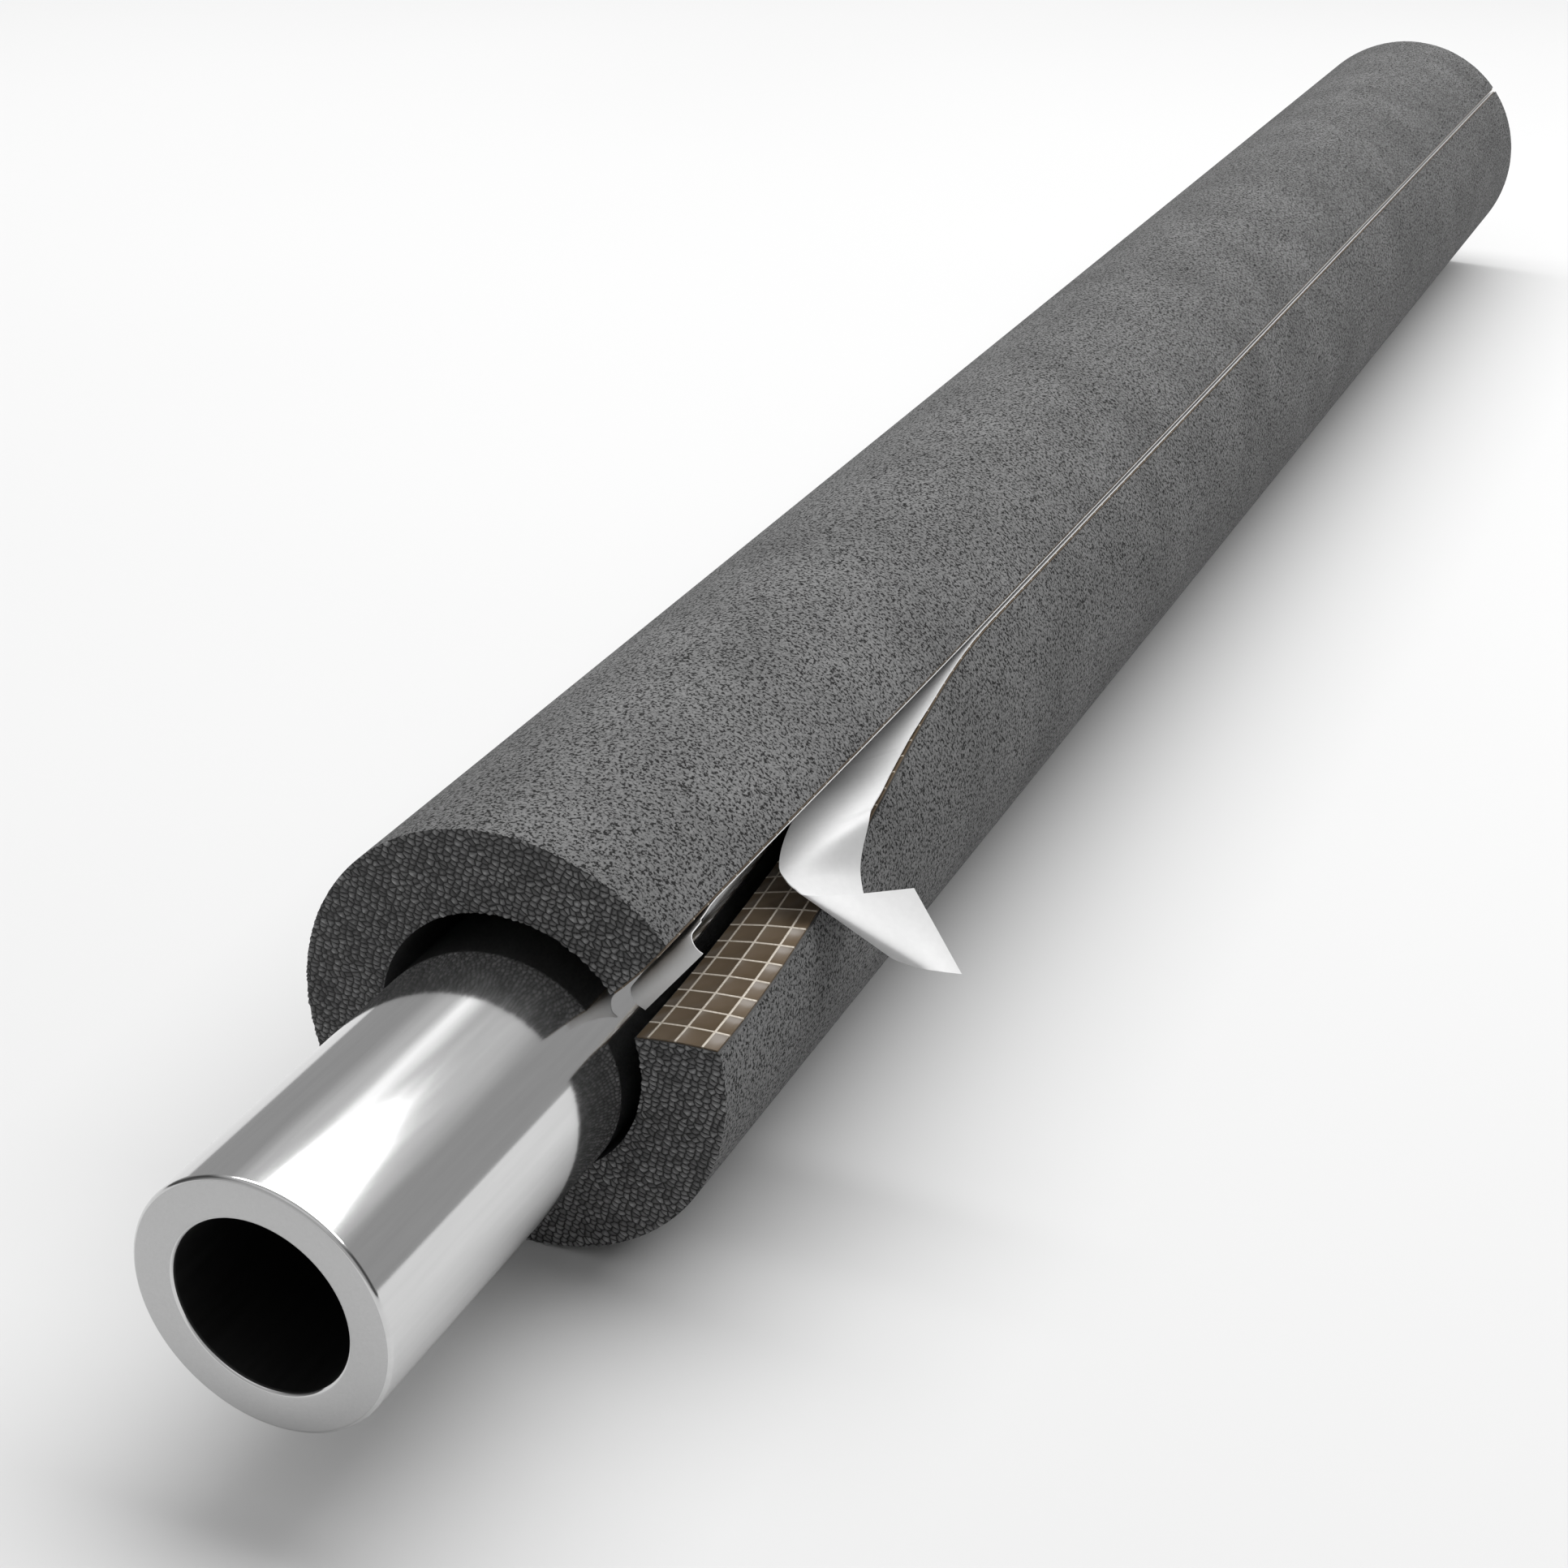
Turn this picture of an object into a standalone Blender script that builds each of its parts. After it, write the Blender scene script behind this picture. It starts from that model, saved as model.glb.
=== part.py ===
"""Pipe insulation lagging: a slit foam tube fitted on a length of steel pipe.

The tube lies along Y and its opened end looks towards -Y. The slit runs along its upper right side.
Both faces of the slit carry an adhesive strip under a paper release liner. At the front the lower
lip is pulled open, and the two liners are peeled back and folded over. Lengths are in metres.
"""
import math

import bmesh
import bpy
from mathutils import Matrix, Vector

# Driving dimensions: lagging with a 13 mm wall and a 42 mm bore, on pipe of 38 mm
BORE_RADIUS = 0.021
WALL = 0.013
FOAM_RADIUS = BORE_RADIUS + WALL
FOAM_LENGTH = 0.575
PIPE_RADIUS = 0.019
PIPE_WALL = 0.00625
PIPE_PROTRUSION = 0.062
PIPE_EDGE = 0.0007

# The strips on the slit's faces
TAPE_THICKNESS = 0.0003
LINER_THICKNESS = 0.0002
CLEARANCE = 0.00025
TAPE_INSET = 0.0004
HALF_SLIT = TAPE_THICKNESS + LINER_THICKNESS + 2.5 * CLEARANCE

# The slit's place round the tube, and how far the lips stand open at the front
SLIT_ANGLE = math.radians(39.3)
OPEN_LENGTH = 3.6 * FOAM_RADIUS
LOWER_TURN_OUTER = math.radians(-25.5)
LOWER_TURN_BORE = math.radians(-19.7)
UPPER_TURN_OUTER = math.radians(1.2)
UPPER_TURN_BORE = math.radians(-4.1)
LOWER_REACH = math.radians(105)
UPPER_REACH = math.radians(50)

# Facets: one lies flat along the bottom of the tube and of its bore
FOAM_SIDES = 60
PIPE_SIDES = 48
FULL_TURN = 2 * math.pi
BOTTOM = 1.5 * math.pi

# The liners' edges on the slit's faces, as radii
LINER_BORE_EDGE = 0.0200
LINER_OUTER_EDGE = FOAM_RADIUS - TAPE_INSET

# The peeled ends of the liners: where the lift off the lip starts and ends, and its height
LOWER_PEEL = {"lift_from": 0.094, "leaves": 0.078, "lift": 0.0004}
UPPER_PEEL = {"lift_from": 0.015, "leaves": 0.0100, "lift": 0.0005}

# The upper liner's free end: a bend (start, slant, radius and turn), its length and the slope of its cut
UPPER_BEND = (0.0035, math.radians(-84), 0.0019, math.radians(115))
UPPER_LENGTH = 0.0081
UPPER_CUT = -0.15

# Where the lower liner's free end runs: its bore side edge, then its outer edge, in millimetres
LOWER_ROUTE = (
    ((16.9, 71.0, 10.7), (29.2, 71.0, 16.7)),
    ((18.2, 59.7, 12.4), (30.6, 63.3, 16.9)),
    ((21.1, 48.1, 13.9), (32.1, 56.5, 18.1)),
    ((24.1, 39.7, 14.3), (33.4, 51.8, 18.5)),
    ((26.8, 36.0, 14.5), (33.7, 47.8, 11.1)),
    ((29.0, 34.4, 14.4), (41.2, 38.5, 5.2)),
    ((31.4, 33.4, 14.5), (47.6, 34.6, 5.9)),
    ((36.7, 37.9, 13.6), (51.7, 35.2, 5.7)),
    ((44.2, 43.3, 13.6), (54.0, 38.1, 4.2)),
)


def clear_scene():
    for item in list(bpy.data.objects):
        bpy.data.objects.remove(item, do_unlink=True)


def material(name, colour, roughness, metallic=0.0):
    made = bpy.data.materials.new(name)
    made.use_nodes = True
    shader = made.node_tree.nodes["Principled BSDF"]
    shader.inputs["Base Color"].default_value = (*colour, 1.0)
    shader.inputs["Roughness"].default_value = roughness
    shader.inputs["Metallic"].default_value = metallic
    return made


def add_object(name, mesh, finish):
    """Turns a bmesh into a named object that is smooth except at its real edges."""
    bmesh.ops.recalc_face_normals(mesh, faces=mesh.faces)
    data = bpy.data.meshes.new(name)
    mesh.to_mesh(data)
    mesh.free()
    data.materials.append(finish)
    data.shade_smooth()
    data.set_sharp_from_angle(angle=math.radians(35))
    made = bpy.data.objects.new(name, data)
    bpy.context.collection.objects.link(made)
    return made


def ease(share):
    share = min(max(share, 0.0), 1.0)
    return share * share * (3 - 2 * share)


def mix(start, end, share):
    return start + (end - start) * share


def slit_point(radius, offset, y):
    """A point of the closed slit: offset is its distance from the slit's middle plane."""
    across = math.cos(SLIT_ANGLE)
    rise = math.sin(SLIT_ANGLE)
    return Vector((radius * across - offset * rise, y, radius * rise + offset * across))


def opened(point):
    """Moves a point of the closed tube to where it lies with the lower lip pulled down."""
    radius = math.hypot(point.x, point.z)
    angle = math.atan2(point.z, point.x)
    past_slit = (angle - SLIT_ANGLE) % FULL_TURN
    before_slit = FULL_TURN - past_slit
    depth = (radius - BORE_RADIUS) / WALL
    open_share = 1 - ease(point.y / OPEN_LENGTH)
    if before_slit < past_slit:
        turn = mix(LOWER_TURN_BORE, LOWER_TURN_OUTER, depth)
        held = ease(1 - before_slit / LOWER_REACH)
    else:
        turn = mix(UPPER_TURN_BORE, UPPER_TURN_OUTER, depth)
        held = ease(1 - past_slit / UPPER_REACH)
    angle += turn * held * open_share
    return Vector((radius * math.cos(angle), point.y, radius * math.sin(angle)))


def section_angles():
    """Angles of the tube's corners, from the upper lip round the bottom to the lower lip."""
    step = FULL_TURN / FOAM_SIDES
    first = BOTTOM + (0.5 - FOAM_SIDES) * step
    corners = [first + place * step for place in range(2 * FOAM_SIDES)]
    margin = 0.7 * step
    low = SLIT_ANGLE + margin
    high = SLIT_ANGLE + FULL_TURN - margin
    return [angle for angle in corners if low < angle < high]


def ring_of_corners(radius):
    """One row of the tube's section, with the two corners of the slit at its ends."""
    share = math.asin(HALF_SLIT / radius)
    angles = [SLIT_ANGLE + share] + section_angles() + [SLIT_ANGLE + FULL_TURN - share]
    return [Vector((radius * math.cos(a), 0.0, radius * math.sin(a))) for a in angles]


def stations():
    """Places along the tube: close together where the lip is open, few beyond."""
    open_steps = 14
    front = [OPEN_LENGTH * step / open_steps for step in range(open_steps + 1)]
    straight_steps = 4
    rest = FOAM_LENGTH - OPEN_LENGTH
    return front + [OPEN_LENGTH + rest * (step + 1) / straight_steps for step in range(straight_steps)]


def foam_tube(finish):
    """A C-shaped section, extruded from station to station and then opened at the slit."""
    mesh = bmesh.new()
    outer = [mesh.verts.new(corner) for corner in ring_of_corners(FOAM_RADIUS)]
    inner = [mesh.verts.new(corner) for corner in ring_of_corners(BORE_RADIUS)]
    for place in range(len(outer) - 1):
        mesh.faces.new((outer[place], outer[place + 1], inner[place + 1], inner[place]))
    places = stations()
    front = list(mesh.faces)
    for before, after in zip(places, places[1:]):
        drawn = bmesh.ops.extrude_face_region(mesh, geom=front)
        if before > 0.0:
            bmesh.ops.delete(mesh, geom=front, context="FACES_ONLY")
        moved = [item for item in drawn["geom"] if isinstance(item, bmesh.types.BMVert)]
        bmesh.ops.translate(mesh, verts=moved, vec=(0.0, after - before, 0.0))
        front = [item for item in drawn["geom"] if isinstance(item, bmesh.types.BMFace)]
    for vertex in mesh.verts:
        vertex.co = opened(vertex.co)
    return add_object("foam_tube", mesh, finish)


def strip_solid(name, rows, finish):
    """A thin closed strip: each row is a list of (under side, top side) pairs across it."""
    mesh = bmesh.new()
    under = [[mesh.verts.new(pair[0]) for pair in row] for row in rows]
    top = [[mesh.verts.new(pair[1]) for pair in row] for row in rows]
    last_row = len(rows) - 1
    last_place = len(rows[0]) - 1
    for sheet in (under, top):
        for row in range(last_row):
            for place in range(last_place):
                corners = (sheet[row][place], sheet[row][place + 1])
                mesh.faces.new(corners + (sheet[row + 1][place + 1], sheet[row + 1][place]))
    for row in range(last_row):
        for place in (0, last_place):
            mesh.faces.new((under[row][place], top[row][place], top[row + 1][place], under[row + 1][place]))
    for row in (0, last_row):
        for place in range(last_place):
            mesh.faces.new((under[row][place], under[row][place + 1], top[row][place + 1], top[row][place]))
    return add_object(name, mesh, finish)


def across_places(steps):
    """Radii across the slit's face, from the bore side to the outer side."""
    low = BORE_RADIUS + TAPE_INSET
    high = FOAM_RADIUS - TAPE_INSET
    return [mix(low, high, step / steps) for step in range(steps + 1)]


def adhesive_strip(name, side, finish):
    """The reinforced tape on one face of the slit: side is 1 on the upper lip, -1 on the lower."""
    under = side * (HALF_SLIT - CLEARANCE)
    top = side * (HALF_SLIT - CLEARANCE - TAPE_THICKNESS)
    rows = []
    for y in stations():
        y = min(max(y, TAPE_INSET), FOAM_LENGTH - TAPE_INSET)
        row = [(opened(slit_point(r, under, y)), opened(slit_point(r, top, y))) for r in across_places(1)]
        rows.append(row)
    return strip_solid(name, rows, finish)


def bent(along, across, height, bends):
    """Folds a flat strip: a point goes round each bend that lies before it on the strip.

    A bend is the place where its line crosses the strip's middle, the line's slant to the strip,
    the bend's radius and its turn. The strip turns up, towards +height.
    """
    flat = Vector((along, across, 0.0))
    point = Vector((along, across, height))
    for start, slant, radius, turn in reversed(bends):
        onward = Vector((math.sin(slant), -math.cos(slant), 0.0)) * math.copysign(1.0, slant)
        past = (flat - Vector((start, 0.0, 0.0))).dot(onward)
        angle = min(max(past / radius, 0.0), turn)
        centre = Vector((start, 0.0, radius))
        axis = Vector((0.0, 0.0, 1.0)).cross(onward)
        moved = point - onward * (radius * angle) - centre
        point = centre + Matrix.Rotation(-angle, 3, axis) @ moved
    return point


def liner_places(steps=6):
    """Radii across a liner, from its bore side edge to its outer edge."""
    return [mix(LINER_BORE_EDGE, LINER_OUTER_EDGE, step / steps) for step in range(steps + 1)]


def on_lip(side, peel, radius, y, height):
    """A point of a liner on its tape, raised a little where it comes off."""
    under = HALF_SLIT - 2 * CLEARANCE - TAPE_THICKNESS
    seat = opened(slit_point(radius, side * under, y))
    away = (opened(slit_point(radius, side * (under - LINER_THICKNESS), y)) - seat).normalized()
    share = ease((peel["lift_from"] - y) / (peel["lift_from"] - peel["leaves"]))
    return seat + away * (height + peel["lift"] * share)


def lying_rows(side, peel):
    """The part of a liner that lies on its tape, from the back to where it leaves the lip."""
    lift_steps = 6
    lift_length = peel["lift_from"] - peel["leaves"]
    lifted = [peel["leaves"] + lift_length * step / lift_steps for step in range(lift_steps)]
    flat = [y for y in stations() if y > peel["lift_from"]]
    rows = []
    for y in sorted(lifted + flat, reverse=True):
        y = min(y, FOAM_LENGTH - TAPE_INSET)
        row = [(on_lip(side, peel, r, y, 0.0), on_lip(side, peel, r, y, LINER_THICKNESS)) for r in liner_places()]
        rows.append(row)
    return rows


def upper_liner(finish):
    """The upper liner: its short free end is folded back over the lip."""
    rows = lying_rows(1, UPPER_PEEL)
    places = liner_places()
    middle = (places[0] + places[-1]) / 2
    small_step = 0.001
    leaves = UPPER_PEEL["leaves"]
    base = on_lip(1, UPPER_PEEL, middle, leaves, 0.0)
    ahead = (base - on_lip(1, UPPER_PEEL, middle, leaves + small_step, 0.0)).normalized()
    sideways = on_lip(1, UPPER_PEEL, places[-1], leaves, 0.0) - on_lip(1, UPPER_PEEL, places[0], leaves, 0.0)
    sideways = (sideways - ahead * sideways.dot(ahead)).normalized()
    up = ahead.cross(sideways)
    if (on_lip(1, UPPER_PEEL, middle, leaves, LINER_THICKNESS) - base).dot(up) < 0:
        up = -up
    steps = 24
    for step in range(1, steps + 1):
        row = []
        for r in places:
            across = r - middle
            along = (UPPER_LENGTH + UPPER_CUT * across) * step / steps
            pair = []
            for height in (0.0, LINER_THICKNESS):
                spot = bent(along, across, height, (UPPER_BEND,))
                pair.append(base + ahead * spot.x + sideways * spot.y + up * spot.z)
            row.append(tuple(pair))
        rows.append(row)
    return strip_solid("release_liner_upper", rows, finish)


def smooth_run(route, steps):
    """Both edges at even steps between the stations, on a smooth curve through all of them."""
    middles = [(bore_side + outer) / 2 for bore_side, outer in route]
    times = [0.0]
    for before, after in zip(middles, middles[1:]):
        times.append(times[-1] + (after - before).length ** 0.7)
    last = len(route) - 1
    run = [route[0]]
    for place in range(last):
        span = times[place + 1] - times[place]
        for step in range(1, steps + 1):
            share = step / steps
            edges = []
            for edge in (0, 1):
                slopes = []
                for spot in (place, place + 1):
                    low = max(spot - 1, 0)
                    high = min(spot + 1, last)
                    slopes.append((route[high][edge] - route[low][edge]) / (times[high] - times[low]))
                start, end = route[place][edge], route[place + 1][edge]
                eased = ease(share)
                bow = slopes[0] * (share * (1 - share) ** 2) - slopes[1] * (share ** 2 * (1 - share))
                edges.append(start.lerp(end, eased) + bow * span)
            run.append(tuple(edges))
    return run


def lower_liner(finish):
    """The lower liner: off the lip it swings outwards and turns over, along its stations."""
    rows = lying_rows(-1, LOWER_PEEL)
    leaving = rows[-1]
    route = [(leaving[0][0], leaving[-1][0])]
    for bore_side, outer in LOWER_ROUTE:
        route.append((Vector(bore_side) / 1000, Vector(outer) / 1000))
    run = smooth_run(route, 6)
    places = 6
    across = [[edges[0].lerp(edges[1], place / places) for place in range(places + 1)] for edges in run]
    for row in range(1, len(across)):
        ahead_row = across[min(row + 1, len(across) - 1)]
        behind_row = across[row - 1]
        pairs = []
        for place in range(places + 1):
            spot = across[row][place]
            normal = (ahead_row[place] - behind_row[place]).cross(across[row][-1] - across[row][0]).normalized()
            pairs.append((spot, spot + normal * LINER_THICKNESS))
        rows.append(pairs)
    return strip_solid("release_liner_lower", rows, finish)


def steel_pipe(finish):
    """A length of pipe with softened ends, lying on the bottom of the foam's bore."""
    bore = PIPE_RADIUS - PIPE_WALL
    drop = BORE_RADIUS - PIPE_RADIUS - CLEARANCE
    front = -PIPE_PROTRUSION
    back = FOAM_LENGTH
    profile = [
        (PIPE_RADIUS - PIPE_EDGE, front),
        (PIPE_RADIUS, front + PIPE_EDGE),
        (PIPE_RADIUS, back - PIPE_EDGE),
        (PIPE_RADIUS - PIPE_EDGE, back),
        (bore + PIPE_EDGE, back),
        (bore, back - PIPE_EDGE),
        (bore, front + PIPE_EDGE),
        (bore + PIPE_EDGE, front),
    ]
    mesh = bmesh.new()
    step = FULL_TURN / PIPE_SIDES
    first = Matrix.Rotation(step / 2, 3, "Y")
    ring = [mesh.verts.new(first @ Vector((0.0, y, -radius))) for radius, y in profile]
    edges = [mesh.edges.new((ring[place], ring[(place + 1) % len(ring)])) for place in range(len(ring))]
    bmesh.ops.spin(
        mesh, geom=ring + edges, cent=(0.0, 0.0, 0.0), axis=(0.0, 1.0, 0.0),
        angle=FULL_TURN, steps=PIPE_SIDES, use_merge=True,
    )
    bmesh.ops.translate(mesh, verts=mesh.verts, vec=(0.0, 0.0, -drop))
    return add_object("steel_pipe", mesh, finish)


def stand_on_origin(pieces):
    """Puts the origin at the bottom centre of the whole part's box."""
    corners = [vertex.co for piece in pieces for vertex in piece.data.vertices]
    low = Vector(min(corner[axis] for corner in corners) for axis in range(3))
    high = Vector(max(corner[axis] for corner in corners) for axis in range(3))
    origin = Vector(((low.x + high.x) / 2, (low.y + high.y) / 2, low.z))
    for piece in pieces:
        piece.data.transform(Matrix.Translation(-origin))


def main():
    clear_scene()
    foam = material("charcoal_foam", (0.115, 0.115, 0.118), 0.8)
    tape = material("brown_adhesive", (0.10, 0.078, 0.05), 0.3)
    paper = material("white_release_paper", (0.86, 0.86, 0.85), 0.5)
    steel = material("polished_steel", (0.8, 0.8, 0.8), 0.18, metallic=1.0)
    pieces = [
        foam_tube(foam),
        adhesive_strip("adhesive_strip_upper", 1, tape),
        adhesive_strip("adhesive_strip_lower", -1, tape),
        lower_liner(paper),
        upper_liner(paper),
        steel_pipe(steel),
    ]
    stand_on_origin(pieces)


main()
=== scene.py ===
"""Looks of a pipe insulation lagging: slit foam tube, adhesive strips, peeled liners and steel pipe.

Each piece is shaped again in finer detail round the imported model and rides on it. The tube lies along
Y with its opened end towards -Y. Lengths are in metres.
"""
import math

import bmesh
import bpy
import numpy as np
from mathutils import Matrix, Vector


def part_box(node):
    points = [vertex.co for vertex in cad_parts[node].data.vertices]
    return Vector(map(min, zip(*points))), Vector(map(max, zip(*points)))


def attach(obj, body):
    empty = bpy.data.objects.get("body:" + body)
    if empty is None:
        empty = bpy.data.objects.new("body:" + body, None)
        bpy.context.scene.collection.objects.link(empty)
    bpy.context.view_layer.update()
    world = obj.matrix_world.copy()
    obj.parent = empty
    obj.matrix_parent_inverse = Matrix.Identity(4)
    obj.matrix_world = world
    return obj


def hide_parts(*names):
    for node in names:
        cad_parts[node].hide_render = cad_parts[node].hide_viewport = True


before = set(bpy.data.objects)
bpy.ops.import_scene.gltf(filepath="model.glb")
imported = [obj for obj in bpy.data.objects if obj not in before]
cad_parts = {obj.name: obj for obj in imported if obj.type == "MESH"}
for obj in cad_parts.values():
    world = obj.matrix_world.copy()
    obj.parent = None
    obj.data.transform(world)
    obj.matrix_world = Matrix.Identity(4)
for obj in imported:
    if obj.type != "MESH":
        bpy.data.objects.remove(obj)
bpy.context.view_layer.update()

# Sizes, the same as the solids have
BORE_RADIUS = 0.021
WALL = 0.013
FOAM_RADIUS = BORE_RADIUS + WALL
FOAM_LENGTH = 0.575
PIPE_RADIUS = 0.019
PIPE_WALL = 0.00625
PIPE_PROTRUSION = 0.062
PIPE_DROP = 0.00175
FULL_TURN = 2 * math.pi

# The slit, and how far the lips stand open at the front
SLIT_ANGLE = math.radians(39.3)
OPEN_LENGTH = 3.6 * FOAM_RADIUS
LOWER_TURN_OUTER = math.radians(-25.5)
LOWER_TURN_BORE = math.radians(-19.7)
UPPER_TURN_OUTER = math.radians(1.2)
UPPER_TURN_BORE = math.radians(-4.1)
LOWER_REACH = math.radians(105)
UPPER_REACH = math.radians(50)
HALF_SLIT = 0.00075

# The strips on the slit's faces
TAPE_THICKNESS = 0.00025
LINER_THICKNESS = 0.00016
STRIP_GAP = 0.00006
STRIP_INSET = 0.0004
STRIP_WIDTH = WALL - 2 * STRIP_INSET

# The threads in the tape
THREAD_WIDTH = 0.00028
THREAD_SLOPE = 0.00006
THREAD_HEIGHT = 0.00006
THREAD_PLACES = (0.0018, 0.0059, 0.0100)
CROSS_SPACING = 0.0045
CROSS_FIRST = 0.0040

# The liners' edges on the slit's faces, as radii
LINER_BORE_EDGE = 0.0200
LINER_OUTER_EDGE = FOAM_RADIUS - STRIP_INSET

# The peeled ends of the liners: where the lift off the lip starts and ends, and its height
LOWER_PEEL = {"lift_from": 0.094, "leaves": 0.078, "lift": 0.0004}
UPPER_PEEL = {"lift_from": 0.015, "leaves": 0.0100, "lift": 0.0005}

# The upper liner's free end: a bend (start, slant, radius, turn), its length and its cut's slope
UPPER_BEND = (0.0035, math.radians(-84), 0.0019, math.radians(115))
UPPER_LENGTH = 0.0081
UPPER_CUT = -0.15

# The lower liner's free end: points of its bore side edge and its outer edge, in millimetres
LOWER_ROUTE = (
    ((16.9, 71.0, 10.7), (29.2, 71.0, 16.7)),
    ((18.2, 59.7, 12.4), (30.6, 63.3, 16.9)),
    ((21.1, 48.1, 13.9), (32.1, 56.5, 18.1)),
    ((24.1, 39.7, 14.3), (33.4, 51.8, 18.5)),
    ((26.8, 36.0, 14.5), (33.7, 47.8, 11.1)),
    ((29.0, 34.4, 14.4), (41.2, 38.5, 5.2)),
    ((31.4, 33.4, 14.5), (47.6, 34.6, 5.9)),
    ((36.7, 37.9, 13.6), (51.7, 35.2, 5.7)),
    ((44.2, 43.3, 13.6), (54.0, 38.1, 4.2)),
)

# The foam's mesh, and the cells on its cut faces
FOAM_COLUMNS = 640
FOAM_ROWS = 48
OPEN_STEPS = 16
BACK_STEPS = 8
CELL_SIZE = 0.00118
CELL_SQUASH = 0.72
CELL_TURN = math.radians(16)
CELL_RANDOMNESS = 0.7
CELL_HEIGHT = 0.00034
CELL_DOME_EDGE = 0.42

# The liners' meshes: their rows lie closer together towards the front
LINER_COLUMNS = 16
LINER_LYING_ROWS = 60
UPPER_FREE_ROWS = 60
LOWER_FREE_ROWS = 180
ROW_CROWDING = 1.7
ROUTE_PACE = 0.7

# The pipe's mesh
PIPE_SIDES = 192
PIPE_EDGE = 0.0007
PIPE_EDGE_STEPS = 5

# The camera, from the tube's front centre
CAMERA_OFFSET = (0.1642, -0.2674, 0.2028)
CAMERA_DIRECTION = Vector((-0.3670, 0.8088, -0.4594))
CAMERA_LENS = 59.756
SENSOR_WIDTH = 36.0

# How bright the parts of the studio's sky are
SKY_BASE = 0.08
SKY_FRONT = 0.42
SKY_PANEL = 0.8
SKY_DOME = 0.45
SKY_BAND = 0.30

pipe_low, pipe_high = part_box("steel_pipe")
foam_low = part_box("foam_tube")[0]
AXIS = np.array([(pipe_low[0] + pipe_high[0]) / 2, foam_low[1], FOAM_RADIUS])


def ease(share):
    share = np.clip(share, 0.0, 1.0)
    return share * share * (3 - 2 * share)


def joined(x, y, z):
    """One array of points from three arrays of coordinates."""
    return np.stack(np.broadcast_arrays(x, y, z), -1).astype(float)


def slit_point(radius, offset, y):
    """Points of the closed slit: offset is their distance from the slit's middle plane."""
    across = math.cos(SLIT_ANGLE)
    rise = math.sin(SLIT_ANGLE)
    return joined(radius * across - offset * rise, y, radius * rise + offset * across)


def opened(points):
    """Moves points of the closed tube to where they lie with the lower lip pulled down."""
    radius = np.hypot(points[..., 0], points[..., 2])
    angle = np.arctan2(points[..., 2], points[..., 0])
    past_slit = (angle - SLIT_ANGLE) % FULL_TURN
    before_slit = FULL_TURN - past_slit
    depth = (radius - BORE_RADIUS) / WALL
    open_share = 1 - ease(points[..., 1] / OPEN_LENGTH)
    lower = before_slit < past_slit
    lower_turn = LOWER_TURN_BORE + (LOWER_TURN_OUTER - LOWER_TURN_BORE) * depth
    upper_turn = UPPER_TURN_BORE + (UPPER_TURN_OUTER - UPPER_TURN_BORE) * depth
    turn = np.where(lower, lower_turn, upper_turn)
    held = np.where(lower, ease(1 - before_slit / LOWER_REACH), ease(1 - past_slit / UPPER_REACH))
    angle = angle + turn * held * open_share
    return joined(radius * np.cos(angle), points[..., 1], radius * np.sin(angle))


def unit_block(name, columns, rows, cuts=0):
    """A closed block one unit each way, with columns along X, rows along Y and cuts across Z."""
    bpy.ops.object.select_all(action="DESELECT")
    bpy.ops.mesh.primitive_grid_add(
        x_subdivisions=columns, y_subdivisions=rows, size=1, location=(0.5, 0.5, 0),
    )
    piece = bpy.context.object
    piece.name = name
    piece.data.name = name
    bpy.ops.object.transform_apply(location=True, rotation=False, scale=False)
    bpy.ops.object.mode_set(mode="EDIT")
    bpy.ops.mesh.select_all(action="SELECT")
    bpy.ops.mesh.extrude_region_move(TRANSFORM_OT_translate={"value": (0, 0, 1)})
    if cuts:
        bpy.ops.mesh.select_all(action="DESELECT")
        bpy.ops.mesh.select_mode(type="EDGE")
        mesh = bmesh.from_edit_mesh(piece.data)
        for edge in mesh.edges:
            edge.select = abs(edge.verts[0].co.z - edge.verts[1].co.z) > 0.5
        bmesh.update_edit_mesh(piece.data)
        bpy.ops.mesh.subdivide_edgering(number_cuts=cuts, interpolation="LINEAR")
    bpy.ops.object.mode_set(mode="OBJECT")
    return piece


def shares_of(piece):
    """The block's coordinates, each from 0 to 1."""
    flat = np.empty(len(piece.data.vertices) * 3)
    piece.data.vertices.foreach_get("co", flat)
    return flat.reshape(-1, 3).T


def put(piece, points, smooth=35):
    """Gives the piece its final points, faces that point outwards and smooth shading."""
    piece.data.vertices.foreach_set("co", (points + AXIS).ravel())
    piece.data.update()
    bpy.ops.object.select_all(action="DESELECT")
    piece.select_set(True)
    bpy.context.view_layer.objects.active = piece
    bpy.ops.object.mode_set(mode="EDIT")
    bpy.ops.mesh.select_all(action="SELECT")
    bpy.ops.mesh.normals_make_consistent(inside=False)
    bpy.ops.object.mode_set(mode="OBJECT")
    bpy.ops.object.shade_smooth_by_angle(angle=math.radians(smooth))


def add_numbers(piece, name, values):
    """Stores one number for each point of the piece."""
    held = piece.data.attributes.new(name, "FLOAT", "POINT")
    held.data.foreach_set("value", np.ascontiguousarray(values, dtype=np.float32))


def give(piece, finishes, chosen=None):
    """Puts the finishes on the piece. chosen gives each face the number of its finish."""
    for finish in finishes:
        piece.data.materials.append(finish)
    if chosen is not None:
        piece.data.polygons.foreach_set("material_index", np.ascontiguousarray(chosen, dtype=np.int32))


def hand_over(piece, replaced):
    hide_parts(replaced)
    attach(piece, "root")


# Nodes

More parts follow.
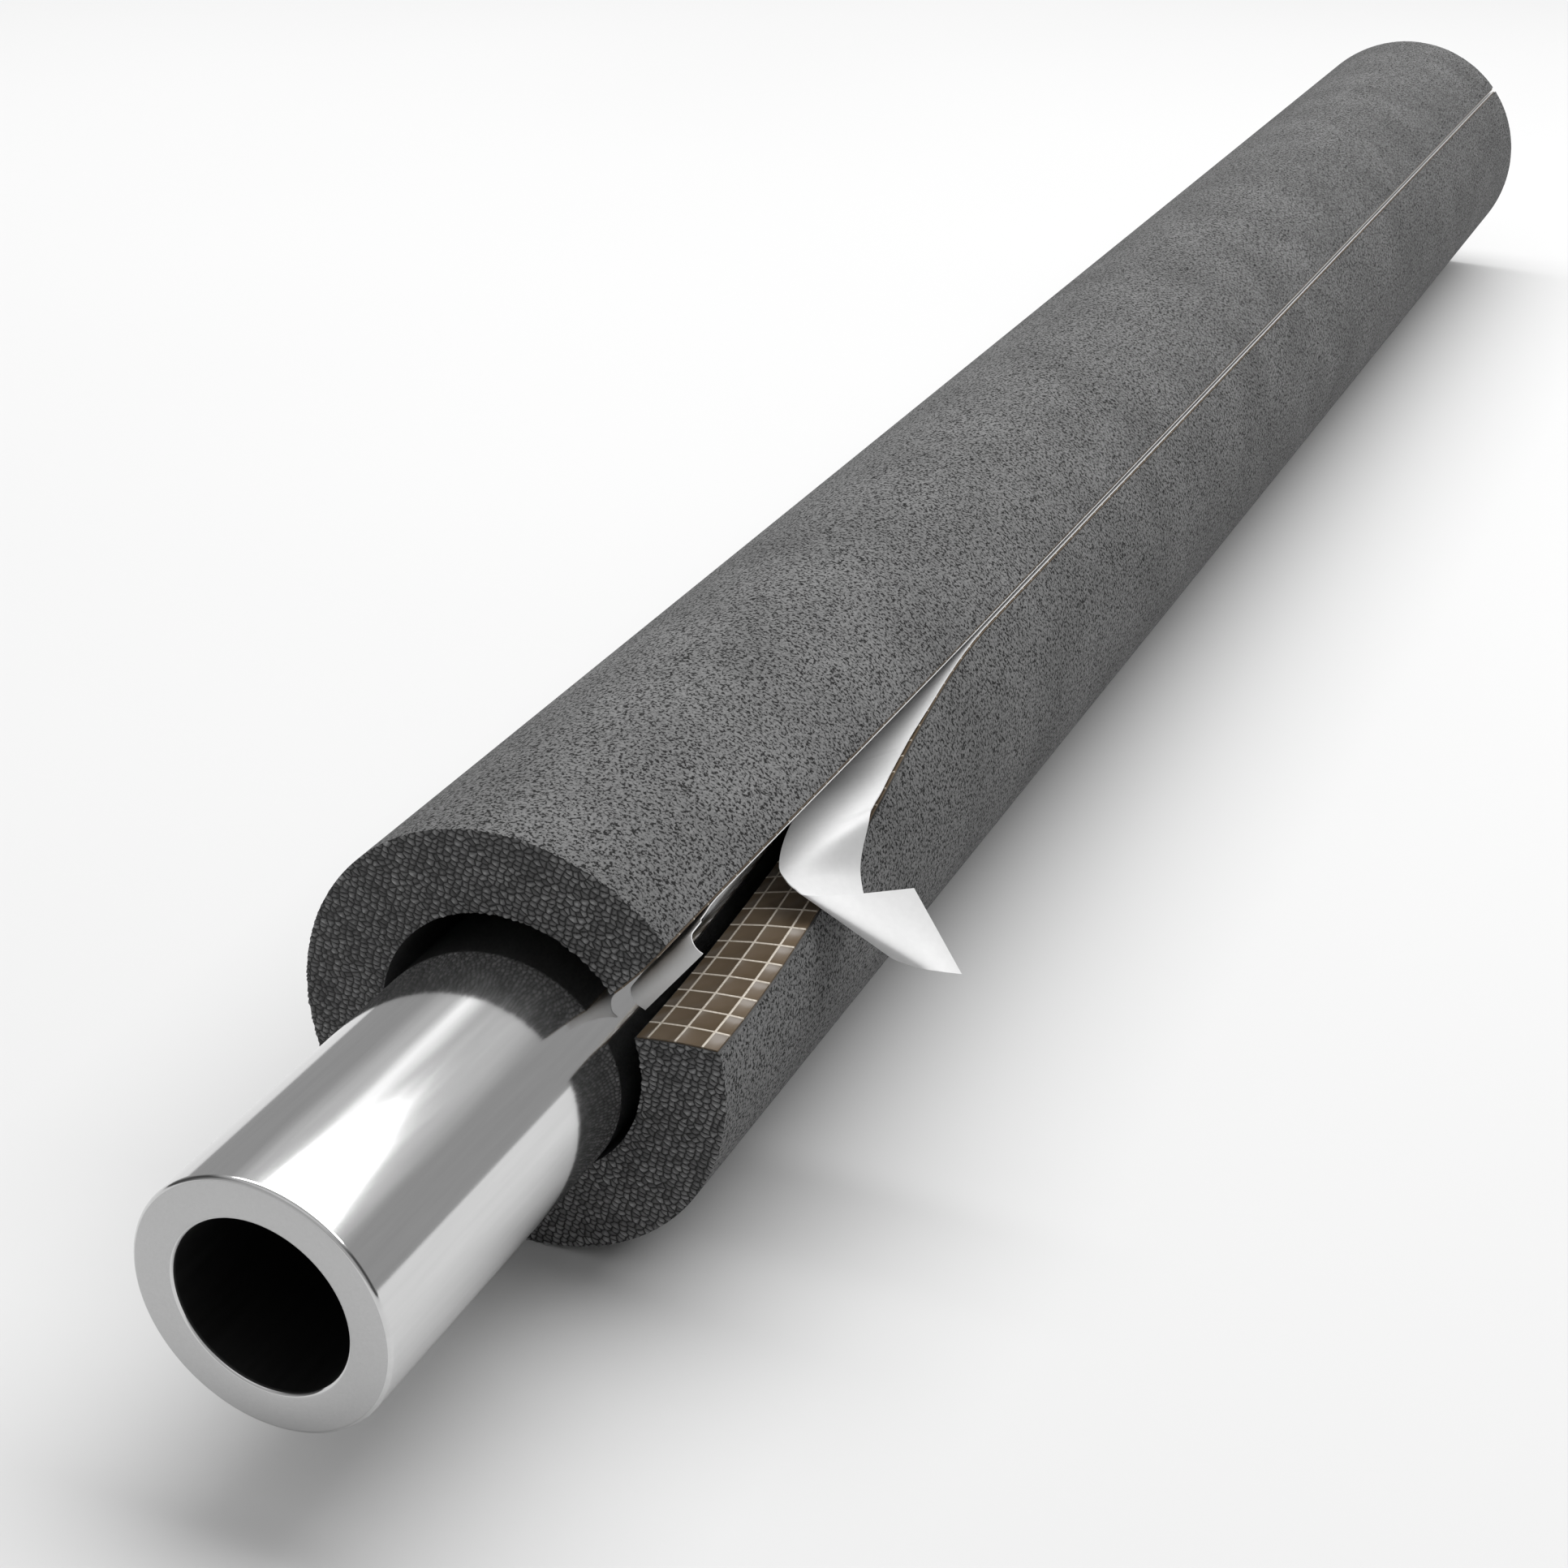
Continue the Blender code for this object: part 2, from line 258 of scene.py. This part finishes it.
def node(tree, kind, settings=None, **inputs):
    """Adds a node. settings are its properties, and inputs its sockets by name or number."""
    made = tree.nodes.new(kind)
    for name, value in (settings or {}).items():
        setattr(made, name, value)
    for name, value in inputs.items():
        numbered = name[0] == "i" and name[1:].isdigit()
        socket = made.inputs[int(name[1:]) if numbered else name.replace("_", " ")]
        if isinstance(value, bpy.types.NodeSocket):
            tree.links.new(value, socket)
        else:
            socket.default_value = value
    return made


def maths(tree, kind, first, second):
    return node(tree, "ShaderNodeMath", {"operation": kind}, i0=first, i1=second).outputs[0]


def remap(tree, value, low=0.0, high=1.0, near=0.0, far=1.0, smooth=False):
    """A number that runs from near to far while value runs from low to high."""
    settings = {"interpolation_type": "SMOOTHSTEP"} if smooth else {}
    ends = {"From_Min": low, "From_Max": high, "To_Min": near, "To_Max": far}
    return node(tree, "ShaderNodeMapRange", settings, Value=value, **ends).outputs[0]


def noise(tree, place, scale, detail, **more):
    return node(tree, "ShaderNodeTexNoise", Vector=place, Scale=scale, Detail=detail, **more).outputs["Fac"]


def finish_named(name):
    made = bpy.data.materials.new(name)
    made.use_nodes = True
    tree = made.node_tree
    shader = tree.nodes["Principled BSDF"]
    place = tree.nodes.new("ShaderNodeTexCoord").outputs["Object"]
    return made, tree, shader, place


def ramp(tree, factor, stops):
    """A colour ramp: stops are (place, grey or colour)."""
    made = tree.nodes.new("ShaderNodeValToRGB")
    tree.links.new(factor, made.inputs["Fac"])
    bar = made.color_ramp
    while len(bar.elements) < len(stops):
        bar.elements.new(0.5)
    for element, (place, colour) in zip(bar.elements, stops):
        element.position = place
        colour = (colour, colour, colour) if isinstance(colour, float) else colour
        element.color = (*colour, 1.0)
    return made.outputs["Color"]


def shaded(tree, shader, colour, strength):
    """Puts the colour on the shader, made darker or lighter by strength."""
    scaled = node(tree, "ShaderNodeVectorMath", {"operation": "SCALE"}, i0=colour, Scale=strength)
    tree.links.new(scaled.outputs[0], shader.inputs["Base Color"])


def bump(tree, shader, height, distance, strength=1.0, before=None):
    made = node(tree, "ShaderNodeBump", Height=height, Distance=distance, Strength=strength)
    if before is not None:
        tree.links.new(before, made.inputs["Normal"])
    tree.links.new(made.outputs["Normal"], shader.inputs["Normal"])
    return made.outputs["Normal"]


def cell_nodes(tree, place):
    """The foam's cells in the plane of the cut: (distance to a cell's edge, the cell's own shade)."""
    parts = node(tree, "ShaderNodeSeparateXYZ", i0=place)
    flat = node(tree, "ShaderNodeCombineXYZ", X=parts.outputs["X"], Y=parts.outputs["Z"])
    about_z = {"rotation_type": "Z_AXIS"}
    turned = node(tree, "ShaderNodeVectorRotate", about_z, Vector=flat.outputs[0], Angle=CELL_TURN)
    per_cell = (1 / CELL_SIZE, 1 / (CELL_SIZE * CELL_SQUASH), 1.0)
    times = {"operation": "MULTIPLY"}
    scaled = node(tree, "ShaderNodeVectorMath", times, i0=turned.outputs[0], i1=per_cell)
    cells = []
    for feature in ("DISTANCE_TO_EDGE", "F1"):
        settings = {"voronoi_dimensions": "2D", "feature": feature}
        values = {"Vector": scaled.outputs[0], "Scale": 1.0, "Randomness": CELL_RANDOMNESS}
        cells.append(node(tree, "ShaderNodeTexVoronoi", settings, **values))
    shade = node(tree, "ShaderNodeSeparateXYZ", i0=cells[1].outputs["Color"])
    return cells[0].outputs["Distance"], shade.outputs[0]


def cut_foam():
    made, tree, shader, place = finish_named("cut_foam")
    edge, own = cell_nodes(tree, place)
    grain = noise(tree, place, 5200.0, 3.0)
    broad = noise(tree, place, 160.0, 2.0)
    # Painted shade: each cell grows darker towards its edge, so the sunk gaps between the cells are painted
    # dark.
    shade = ramp(tree, edge, [(0.0, 0.003), (0.06, 0.008), (0.14, 0.10), (0.5, 0.20)])
    varied = remap(tree, own, near=0.55, far=1.6)
    spread = remap(tree, broad, 0.3, 0.7, 0.8, 1.15)
    shaded(tree, shader, shade, maths(tree, "MULTIPLY", varied, spread))
    shader.inputs["Roughness"].default_value = 0.55
    dome = remap(tree, edge, high=CELL_DOME_EDGE, smooth=True)
    first = bump(tree, shader, dome, 0.00022)
    bump(tree, shader, grain, 0.00005, before=first)
    return made


def foam_skin():
    made, tree, shader, place = finish_named("foam_skin")
    specks = noise(tree, place, 2100.0, 3.0, Roughness=0.55, Distortion=0.4)
    fine = noise(tree, place, 4200.0, 2.0)
    broad = noise(tree, place, 55.0, 3.0)
    # The darkest specks are painted shade in the skin's small pits; the lighter end of the ramp is the skin's
    # own mottled grey.
    pit_shade_and_tone = ramp(tree, specks, [(0.42, 0.02), (0.47, 0.115), (0.55, 0.15), (0.75, 0.20)])
    shaded(tree, shader, pit_shade_and_tone, remap(tree, broad, 0.3, 0.7, 0.86, 1.12))
    shader.inputs["Roughness"].default_value = 0.6
    shader.inputs["Specular IOR Level"].default_value = 0.03
    first = bump(tree, shader, specks, 0.00012)
    bump(tree, shader, fine, 0.00006, before=first)
    return made


def bore_skin_painted_dark():
    made, tree, shader, place = finish_named("bore_skin_painted_dark")
    fine = noise(tree, place, 2200.0, 2.0)
    # Painted shade: the bore and the slit's faces are painted far darker than the outer skin of the same foam.
    colour = ramp(tree, fine, [(0.35, 0.028), (0.65, 0.05)])
    tree.links.new(colour, shader.inputs["Base Color"])
    shader.inputs["Roughness"].default_value = 0.6
    bump(tree, shader, fine, 0.00008)
    return made


def adhesive():
    made, tree, shader, place = finish_named("adhesive_and_scrim")
    thread = node(tree, "ShaderNodeAttribute", {"attribute_name": "scrim"}).outputs["Fac"]
    broad = noise(tree, place, 90.0, 2.0)
    fine = noise(tree, place, 2600.0, 2.0)
    glue = ramp(tree, broad, [(0.3, (0.105, 0.075, 0.046)), (0.7, (0.135, 0.100, 0.066))])
    cream = ramp(tree, fine, [(0.3, (0.46, 0.41, 0.34)), (0.7, (0.66, 0.61, 0.53))])
    mixed = node(tree, "ShaderNodeMix", {"data_type": "RGBA"}, i0=thread, i6=glue, i7=cream)
    tree.links.new(mixed.outputs[2], shader.inputs["Base Color"])
    tree.links.new(remap(tree, thread, near=0.3, far=0.55), shader.inputs["Roughness"])
    bump(tree, shader, broad, 0.0002, strength=0.3)
    return made


def paper():
    made, tree, shader, place = finish_named("release_paper")
    fibre = noise(tree, place, 900.0, 4.0)
    colour = ramp(tree, fibre, [(0.3, 0.63), (0.7, 0.66)])
    tree.links.new(colour, shader.inputs["Base Color"])
    shader.inputs["Roughness"].default_value = 0.6
    bump(tree, shader, fibre, 0.000006)
    return made


def steel(name, grey, roughness, grain_scale, grain_depth):
    made, tree, shader, place = finish_named(name)
    stretched = node(tree, "ShaderNodeMapping", Vector=place, Scale=(1.0, 0.06, 1.0)).outputs[0]
    grain = noise(tree, stretched, grain_scale, 3.0)
    colour = ramp(tree, grain, [(0.3, grey * 0.94), (0.7, grey)])
    tree.links.new(colour, shader.inputs["Base Color"])
    varied = remap(tree, grain, near=roughness * 0.85, far=roughness * 1.15)
    tree.links.new(varied, shader.inputs["Roughness"])
    shader.inputs["Metallic"].default_value = 1.0
    bump(tree, shader, grain, grain_depth)
    return made


# The foam tube

def raise_cells(piece):
    """Raises each cell of the cut faces as a small dome, by the same pattern as their colour."""
    tree = bpy.data.node_groups.new("cell_relief", "GeometryNodeTree")
    tree.interface.new_socket("Geometry", in_out="INPUT", socket_type="NodeSocketGeometry")
    tree.interface.new_socket("Geometry", in_out="OUTPUT", socket_type="NodeSocketGeometry")
    start = tree.nodes.new("NodeGroupInput")
    end = tree.nodes.new("NodeGroupOutput")
    place = tree.nodes.new("GeometryNodeInputPosition").outputs[0]
    edge, own = cell_nodes(tree, place)
    dome = remap(tree, edge, high=CELL_DOME_EDGE, smooth=True)
    height = maths(tree, "MULTIPLY", dome, remap(tree, own, near=0.7, far=1.15))
    sunk = maths(tree, "SUBTRACT", height, 0.8)
    numbers = {"data_type": "FLOAT"}
    side = node(tree, "GeometryNodeInputNamedAttribute", numbers, Name="cut_side").outputs["Attribute"]
    faced = maths(tree, "MULTIPLY", sunk, side)
    move = node(tree, "ShaderNodeCombineXYZ", Y=maths(tree, "MULTIPLY", faced, CELL_HEIGHT))
    placed = node(tree, "GeometryNodeSetPosition", Offset=move.outputs[0])
    tree.links.new(start.outputs[0], placed.inputs["Geometry"])
    tree.links.new(placed.outputs["Geometry"], end.inputs[0])
    raised = piece.modifiers.new("cells", "NODES")
    raised.node_group = tree
    bpy.ops.object.modifier_apply(modifier=raised.name)


def foam_tube():
    steps = OPEN_STEPS + BACK_STEPS
    piece = unit_block("foam_lagging", FOAM_COLUMNS, FOAM_ROWS, cuts=steps - 1)
    round_share, depth, along = shares_of(piece)
    radius = BORE_RADIUS + WALL * depth
    lip = np.arcsin(HALF_SLIT / radius)
    angle = SLIT_ANGLE + lip + round_share * (FULL_TURN - 2 * lip)
    y = np.interp(along, [0, OPEN_STEPS / steps, 1], [0, OPEN_LENGTH, FOAM_LENGTH])
    put(piece, opened(joined(radius * np.cos(angle), y, radius * np.sin(angle))), smooth=50)
    front = along < 0.5 / steps
    back = along > 1 - 0.5 / steps
    add_numbers(piece, "cut_side", back * 1.0 - front * 1.0)
    raise_cells(piece)
    count = len(piece.data.polygons)
    corners = np.empty(count * 4, dtype=np.int32)
    piece.data.polygons.foreach_get("vertices", corners)
    corners = corners.reshape(count, 4)
    middle = [shares[corners].mean(1) for shares in (round_share, depth, along)]
    on_cut = (middle[2] < 1e-4) | (middle[2] > 1 - 1e-4)
    in_bore = middle[1] < 1e-4
    in_slit = (middle[0] < 1e-4) | (middle[0] > 1 - 1e-4)
    chosen = np.where(on_cut, 0, np.where(in_bore | in_slit, 2, 1))
    give(piece, (cut_foam(), foam_skin(), bore_skin_painted_dark()), chosen)
    hand_over(piece, "foam_tube")


# The strips

def thread_stops(places, end):
    """Places across a thread's slopes and top, for each thread, with the strip's two edges."""
    half = THREAD_WIDTH / 2
    stops = [0.0, end]
    raised = []
    for middle in places:
        top = [middle - half, middle + half]
        stops += [top[0] - THREAD_SLOPE, *top, top[1] + THREAD_SLOPE]
        raised += top
    stops = np.array(sorted(stops))
    is_top = np.array([min(abs(stop - place) for place in raised) < 1e-9 for stop in stops])
    return stops, is_top


def adhesive_strip(name, node_name, side, finish):
    """The tape on one face of the slit, with its net of threads standing a little proud."""
    length = FOAM_LENGTH - 2 * STRIP_INSET
    count = int((length - CROSS_FIRST - THREAD_WIDTH) / CROSS_SPACING) + 1
    across_stops, across_top = thread_stops(THREAD_PLACES, STRIP_WIDTH)
    cross_places = [CROSS_FIRST + CROSS_SPACING * number for number in range(count)]
    along_stops, along_top = thread_stops(cross_places, length)
    piece = unit_block(name, len(across_stops) - 1, len(along_stops) - 1)
    across_share, along_share, top = shares_of(piece)
    across_place = np.rint(across_share * (len(across_stops) - 1)).astype(int)
    along_place = np.rint(along_share * (len(along_stops) - 1)).astype(int)
    threaded = (across_top[across_place] | along_top[along_place]) * (top > 0.5)
    radius = BORE_RADIUS + STRIP_INSET + across_stops[across_place]
    y = STRIP_INSET + along_stops[along_place]
    height = TAPE_THICKNESS * top + THREAD_HEIGHT * threaded
    offset = side * (HALF_SLIT - STRIP_GAP / 2 - height)
    put(piece, opened(slit_point(radius, offset, y)), smooth=60)
    add_numbers(piece, "scrim", threaded * 1.0)
    give(piece, (finish,))
    hand_over(piece, node_name)


def bent(along, across, height, bends):
    """Folds a flat strip: a point goes round each bend that lies before it on the strip."""
    flat = joined(along, across, 0.0)
    points = joined(along, across, height)
    for start, slant, radius, turn in reversed(bends):
        onward = np.array([math.sin(slant), -math.cos(slant), 0.0]) * math.copysign(1.0, slant)
        angle = np.clip((flat - [start, 0, 0]) @ onward / radius, 0, turn)
        from_centre = points - onward * (radius * angle)[..., None] - [start, 0, radius]
        ahead = from_centre @ onward
        up = from_centre[..., 2]
        turned = ahead * np.cos(angle) - up * np.sin(angle)
        raised = ahead * np.sin(angle) + up * np.cos(angle)
        points = from_centre + onward * (turned - ahead)[..., None]
        points[..., 2] = raised
        points = points + [start, 0, radius]
    return points


def on_lip(side, peel, radius, y, height):
    """Points of a liner on its tape, raised a little where it comes off."""
    under = HALF_SLIT - STRIP_GAP - TAPE_THICKNESS - THREAD_HEIGHT
    seat = opened(slit_point(radius, side * under, y))
    away = opened(slit_point(radius, side * (under - LINER_THICKNESS), y)) - seat
    away /= np.linalg.norm(away, axis=-1, keepdims=True)
    share = ease((peel["lift_from"] - y) / (peel["lift_from"] - peel["leaves"]))
    return seat + away * (height + peel["lift"] * share)[..., None]


def liner_block(name, leaves, free_rows):
    """A liner's block, and for its points: share across, radius, y on the lip, free share, height, is free."""
    rows = LINER_LYING_ROWS + free_rows
    piece = unit_block(name, LINER_COLUMNS, rows)
    across, along, top = shares_of(piece)
    radius = LINER_BORE_EDGE + (LINER_OUTER_EDGE - LINER_BORE_EDGE) * across
    row = along * rows
    free = np.clip((row - LINER_LYING_ROWS) / free_rows, 0, 1)
    from_back = np.clip(row / LINER_LYING_ROWS, 0, 1)
    y = leaves + (FOAM_LENGTH - STRIP_INSET - leaves) * (1 - from_back) ** ROW_CROWDING
    return piece, across, radius, y, free, top * LINER_THICKNESS, row > LINER_LYING_ROWS + 0.5


def upper_liner(finish):
    """The upper liner: its short free end is folded back over the lip."""
    leaves = UPPER_PEEL["leaves"]
    block = liner_block("liner_upper", leaves, UPPER_FREE_ROWS)
    piece, _, radius, y, free, height, is_free = block
    lying = on_lip(1, UPPER_PEEL, radius, y, height)
    middle = (LINER_BORE_EDGE + LINER_OUTER_EDGE) / 2

    def at(radius, y, height=0.0):
        return on_lip(1, UPPER_PEEL, np.array([radius]), np.array([y]), np.array([height]))[0]

    base = at(middle, leaves)
    ahead = base - at(middle, leaves + 0.001)
    ahead /= np.linalg.norm(ahead)
    sideways = at(middle + 0.001, leaves) - base
    sideways -= ahead * (sideways @ ahead)
    sideways /= np.linalg.norm(sideways)
    up = np.cross(ahead, sideways)
    up *= math.copysign(1.0, (at(middle, leaves, LINER_THICKNESS) - base) @ up)
    sidestep = radius - middle
    along = (UPPER_LENGTH + UPPER_CUT * sidestep) * free
    folded = base + bent(along, sidestep, height, (UPPER_BEND,)) @ np.array([ahead, sideways, up])
    put(piece, np.where(is_free[:, None], folded, lying), smooth=40)
    give(piece, (finish,))
    hand_over(piece, "release_liner_upper")
    return piece


def smooth_run(route, places):
    """Both edges at the given places from 0 to 1, on a smooth curve through all the stations."""
    middles = route.mean(1)
    steps = np.linalg.norm(np.diff(middles, axis=0), axis=-1) ** ROUTE_PACE
    times = np.concatenate([[0.0], np.cumsum(steps)])
    last = len(route) - 1
    before = np.maximum(np.arange(last + 1) - 1, 0)
    after = np.minimum(np.arange(last + 1) + 1, last)
    slopes = (route[after] - route[before]) / (times[after] - times[before])[:, None, None]
    span = np.minimum((places * last).astype(int), last - 1)
    share = (places * last - span)[:, None, None]
    length = (times[span + 1] - times[span])[:, None, None]
    eased = ease(share)
    bow = slopes[span] * share * (1 - share) ** 2 - slopes[span + 1] * share ** 2 * (1 - share)
    return route[span] * (1 - eased) + route[span + 1] * eased + bow * length


def lower_liner(finish):
    """The lower liner: off the lip it swings outwards and turns over, along its stations."""
    leaves = LOWER_PEEL["leaves"]
    block = liner_block("liner_lower", leaves, LOWER_FREE_ROWS)
    piece, across, radius, y, free, height, is_free = block
    lying = on_lip(-1, LOWER_PEEL, radius, y, height)
    edges = np.array([LINER_BORE_EDGE, LINER_OUTER_EDGE])
    leaving = on_lip(-1, LOWER_PEEL, edges, np.full(2, leaves), np.zeros(2))
    route = np.concatenate([leaving[None], np.array(LOWER_ROUTE) / 1000])

    def spot(places):
        run = smooth_run(route, np.clip(places, 0, 1))
        return run[:, 0] * (1 - across)[:, None] + run[:, 1] * across[:, None]

    run = smooth_run(route, free)
    small = 0.003
    normal = np.cross(spot(free + small) - spot(free - small), run[:, 1] - run[:, 0])
    normal /= np.linalg.norm(normal, axis=-1, keepdims=True)
    loose = spot(free) + normal * height[:, None]
    put(piece, np.where(is_free[:, None], loose, lying), smooth=40)
    give(piece, (finish,))
    hand_over(piece, "release_liner_lower")
    return piece


# The pipe

def steel_pipe():
    """A turned length of pipe with rounded ends, lying on the bottom of the foam's bore."""
    length = PIPE_PROTRUSION + FOAM_LENGTH
    front = float(AXIS[1]) - PIPE_PROTRUSION
    centre = Vector((float(AXIS[0]), front, float(AXIS[2]) - PIPE_DROP))
    bpy.ops.object.select_all(action="DESELECT")
    upright = (math.pi / 2, 0, 0)
    bpy.ops.mesh.primitive_circle_add(
        vertices=PIPE_SIDES, radius=PIPE_RADIUS, fill_type="NOTHING", location=centre, rotation=upright,
    )
    piece = bpy.context.object
    piece.name = "pipe_length"
    piece.data.name = "pipe_length"
    bpy.ops.object.transform_apply(location=True, rotation=True, scale=True)
    bore_share = (PIPE_RADIUS - PIPE_WALL) / PIPE_RADIUS
    bpy.ops.object.mode_set(mode="EDIT")
    bpy.ops.mesh.select_all(action="SELECT")
    bpy.ops.mesh.extrude_region_move(TRANSFORM_OT_translate={"value": (0, length, 0)})
    bpy.ops.mesh.extrude_region_move(TRANSFORM_OT_translate={"value": (0, 0, 0)})
    far = centre + Vector((0, length, 0))
    bpy.ops.transform.resize(value=(bore_share, 1, bore_share), center_override=far)
    bpy.ops.mesh.extrude_region_move(TRANSFORM_OT_translate={"value": (0, -length, 0)})
    bpy.ops.mesh.extrude_region_move(TRANSFORM_OT_translate={"value": (0, 0, 0)})
    bpy.ops.transform.resize(value=(1 / bore_share, 1, 1 / bore_share), center_override=centre)
    bpy.ops.mesh.select_all(action="SELECT")
    bpy.ops.mesh.remove_doubles(threshold=1e-6)
    bpy.ops.mesh.select_all(action="DESELECT")
    bpy.ops.mesh.select_mode(type="EDGE")
    mesh = bmesh.from_edit_mesh(piece.data)
    for edge in mesh.edges:
        first, second = (vertex.co - centre for vertex in edge.verts)
        same_end = abs(first.y - second.y) < 1e-5
        same_ring = abs(math.hypot(first.x, first.z) - math.hypot(second.x, second.z)) < 1e-5
        edge.select = same_end and same_ring
    bmesh.update_edit_mesh(piece.data)
    bpy.ops.mesh.bevel(offset=PIPE_EDGE, segments=PIPE_EDGE_STEPS, affect="EDGES")
    bpy.ops.mesh.select_all(action="SELECT")
    bpy.ops.mesh.normals_make_consistent(inside=False)
    bpy.ops.object.mode_set(mode="OBJECT")
    bpy.ops.object.shade_smooth_by_angle(angle=math.radians(40))
    chosen = []
    for face in piece.data.polygons:
        from_axis = face.center - centre
        reach = math.hypot(from_axis.x, from_axis.z)
        if abs(face.normal.y) > 0.9:
            chosen.append(1)
        elif reach < PIPE_RADIUS - PIPE_WALL + 0.0001:
            chosen.append(2)
        else:
            chosen.append(0)
    finishes = (
        steel("polished_steel", 0.68, 0.10, 900.0, 0.000003),
        steel("satin_steel_end", 0.52, 0.25, 2600.0, 0.000003),
        # The pipe's bore is painted near black: painted shade inside the pipe.
        steel("steel_bore_painted_dark", 0.06, 0.5, 1200.0, 0.00002),
    )
    give(piece, finishes, chosen)
    hand_over(piece, "steel_pipe")


foam_tube()
glue = adhesive()
adhesive_strip("tape_upper", "adhesive_strip_upper", 1, glue)
adhesive_strip("tape_lower", "adhesive_strip_lower", -1, glue)
liner_paper = paper()
lower_liner(liner_paper)
upper_liner(liner_paper)
steel_pipe()

# Floor, light and camera

bpy.ops.object.select_all(action="DESELECT")
bpy.ops.mesh.primitive_plane_add(size=9.0, location=(0, 1.5, 0))
floor = bpy.context.object
floor.name = "studio_floor"
white, white_tree, white_shader, white_place = finish_named("white_floor")
cloud = noise(white_tree, white_place, 2.0, 2.0)
pale = ramp(white_tree, cloud, [(0.3, 0.60), (0.7, 0.62)])
white_tree.links.new(pale, white_shader.inputs["Base Color"])
white_shader.inputs["Roughness"].default_value = 0.95
white_shader.inputs["Specular IOR Level"].default_value = 0.1
floor.data.materials.append(white)

LAMP_PLACE = Vector((0.08, 0.3, 1.5))
LAMP_AIM = Vector((0.0, 0.3, 0.0))
bpy.ops.object.light_add(type="AREA", location=LAMP_PLACE)
lamp = bpy.context.object
lamp.name = "overhead"
lamp.data.shape = "RECTANGLE"
lamp.data.size, lamp.data.size_y = 0.8, 2.9
lamp.data.energy = 42.0
lamp.rotation_euler = (LAMP_AIM - LAMP_PLACE).to_track_quat("-Z", "Y").to_euler()

world = bpy.data.worlds.new("studio")
world.use_nodes = True
sky = world.node_tree
heading = sky.nodes.new("ShaderNodeTexCoord").outputs["Generated"]
parts = node(sky, "ShaderNodeSeparateXYZ", i0=heading)


def step(axis, low, high, near=0.0, far=1.0):
    """A soft step between two headings along one axis."""
    return remap(sky, parts.outputs[axis], low, high, near, far, smooth=True)


def product(*factors):
    result = factors[0]
    for factor in factors[1:]:
        result = maths(sky, "MULTIPLY", result, factor)
    return result


# A narrow panel at the back on the left, the sky overhead, a low band at the back and some light in front
panel = product(step("Y", 0.3, 0.6), step("Z", 0.3, 0.5), step("X", -0.36, -0.2))
panel = product(panel, step("X", -0.24, -0.02, 1.0, 0.0))
dome = step("Z", 0.5, 0.75)
band = product(step("Y", 0.0, 0.5), step("Z", 0.55, 0.85, 1.0, 0.0))
strength = step("Y", -0.9, -0.3, SKY_FRONT + SKY_BASE, SKY_BASE)
for region, share in ((panel, SKY_PANEL), (dome, SKY_DOME), (band, SKY_BAND)):
    strength = maths(sky, "ADD", strength, product(region, share))
sky.nodes["Background"].inputs["Color"].default_value = (1.0, 1.0, 1.0, 1.0)
sky.links.new(strength, sky.nodes["Background"].inputs["Strength"])
bpy.context.scene.world = world
bpy.context.scene.view_settings.view_transform = "Standard"

bpy.ops.object.camera_add(location=AXIS + np.array(CAMERA_OFFSET))
camera = bpy.context.object
camera.rotation_euler = CAMERA_DIRECTION.to_track_quat("-Z", "Y").to_euler()
camera.data.lens = CAMERA_LENS
camera.data.sensor_width = SENSOR_WIDTH
bpy.context.scene.camera = camera
